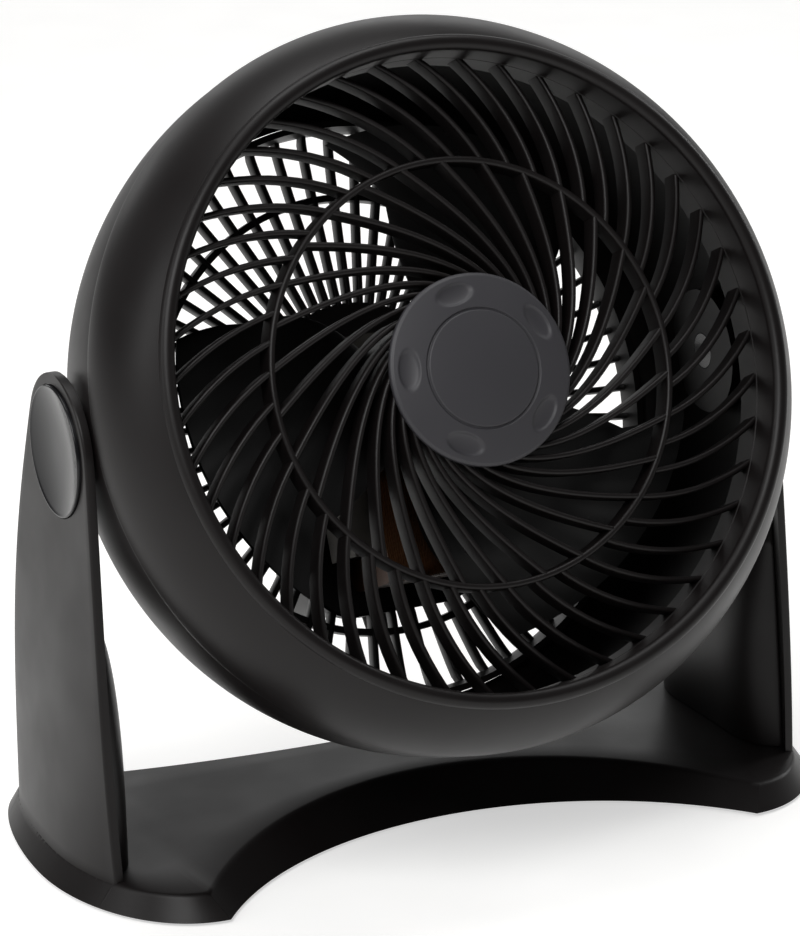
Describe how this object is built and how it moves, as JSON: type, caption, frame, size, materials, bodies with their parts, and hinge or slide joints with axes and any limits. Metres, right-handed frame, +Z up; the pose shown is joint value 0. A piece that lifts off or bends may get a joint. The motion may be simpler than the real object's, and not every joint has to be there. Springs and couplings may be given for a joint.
{
  "type": "air circulator fan",
  "caption": "Table-top air circulator with a round ducted head, swirled front grille and rear speed knob, tilting between two arms on a wide bow-tie base.",
  "frame": {"origin": "on the floor, midway between the arms, at the middle of the bounding box", "axes": "+Z up, the fan blows towards -Y, X along the tilt axis from arm to arm"},
  "size_m": [0.281, 0.1928, 0.276],
  "materials": {
    "satin_black_plastic": "satin moulded",
    "gloss_black_plastic": "polished",
    "slate_plastic": "fine matte texture",
    "black_rubber": "matte",
    "zinc_plated_steel": "plated",
    "electrical_steel": "stacked laminations",
    "varnished_winding": "brown insulating varnish",
    "sintered_bronze": "sintered"
  },
  "bodies": {
    "stand": {"stand_frame": "satin_black_plastic", "arm_fairing_left": "satin_black_plastic", "arm_fairing_right": "satin_black_plastic", "pivot_pin_left": "gloss_black_plastic", "pivot_pin_right": "gloss_black_plastic", "pivot_washer_left": "black_rubber", "pivot_washer_right": "black_rubber", "foot_pad_1": "black_rubber", "foot_pad_2": "black_rubber", "foot_pad_3": "black_rubber", "foot_pad_4": "black_rubber"},
    "head": {"front_shroud": "satin_black_plastic", "front_grille": "satin_black_plastic", "hub_cap": "slate_plastic", "rear_housing": "satin_black_plastic", "rear_grille": "satin_black_plastic", "motor_cover": "satin_black_plastic", "cover_screw_1": "zinc_plated_steel", "cover_screw_2": "zinc_plated_steel", "cover_screw_3": "zinc_plated_steel", "stator_core": "electrical_steel", "stator_coil": "varnished_winding", "front_bearing_bridge": "zinc_plated_steel", "rear_bearing_bridge": "zinc_plated_steel", "front_bearing": "sintered_bronze", "rear_bearing": "sintered_bronze", "motor_bolt_left": "zinc_plated_steel", "motor_bolt_right": "zinc_plated_steel", "speed_switch": "gloss_black_plastic", "cord_gland": "black_rubber"},
    "spinner": {"impeller": "gloss_black_plastic", "impeller_nut": "gloss_black_plastic", "motor_shaft": "zinc_plated_steel", "rotor": "electrical_steel"},
    "knob": {"speed_knob": "satin_black_plastic"}
  },
  "joints": [
    {"name": "head_tilt", "type": "hinge", "parent": "stand", "child": "head", "pos_m": [0, 0.00629, 0.1475], "axis": [-1, 0, 0], "range_deg": [-24, 66]},
    {"name": "impeller_spin", "type": "hinge", "parent": "head", "child": "spinner", "pos_m": [0, 0.00629, 0.1475], "axis": [0, -0.9135, 0.4067], "continuous": true},
    {"name": "knob_turn", "type": "hinge", "parent": "head", "child": "knob", "pos_m": [0, 0.00629, 0.1475], "axis": [0, 0.9135, -0.4067], "range_deg": [0, 120]}
  ]
}
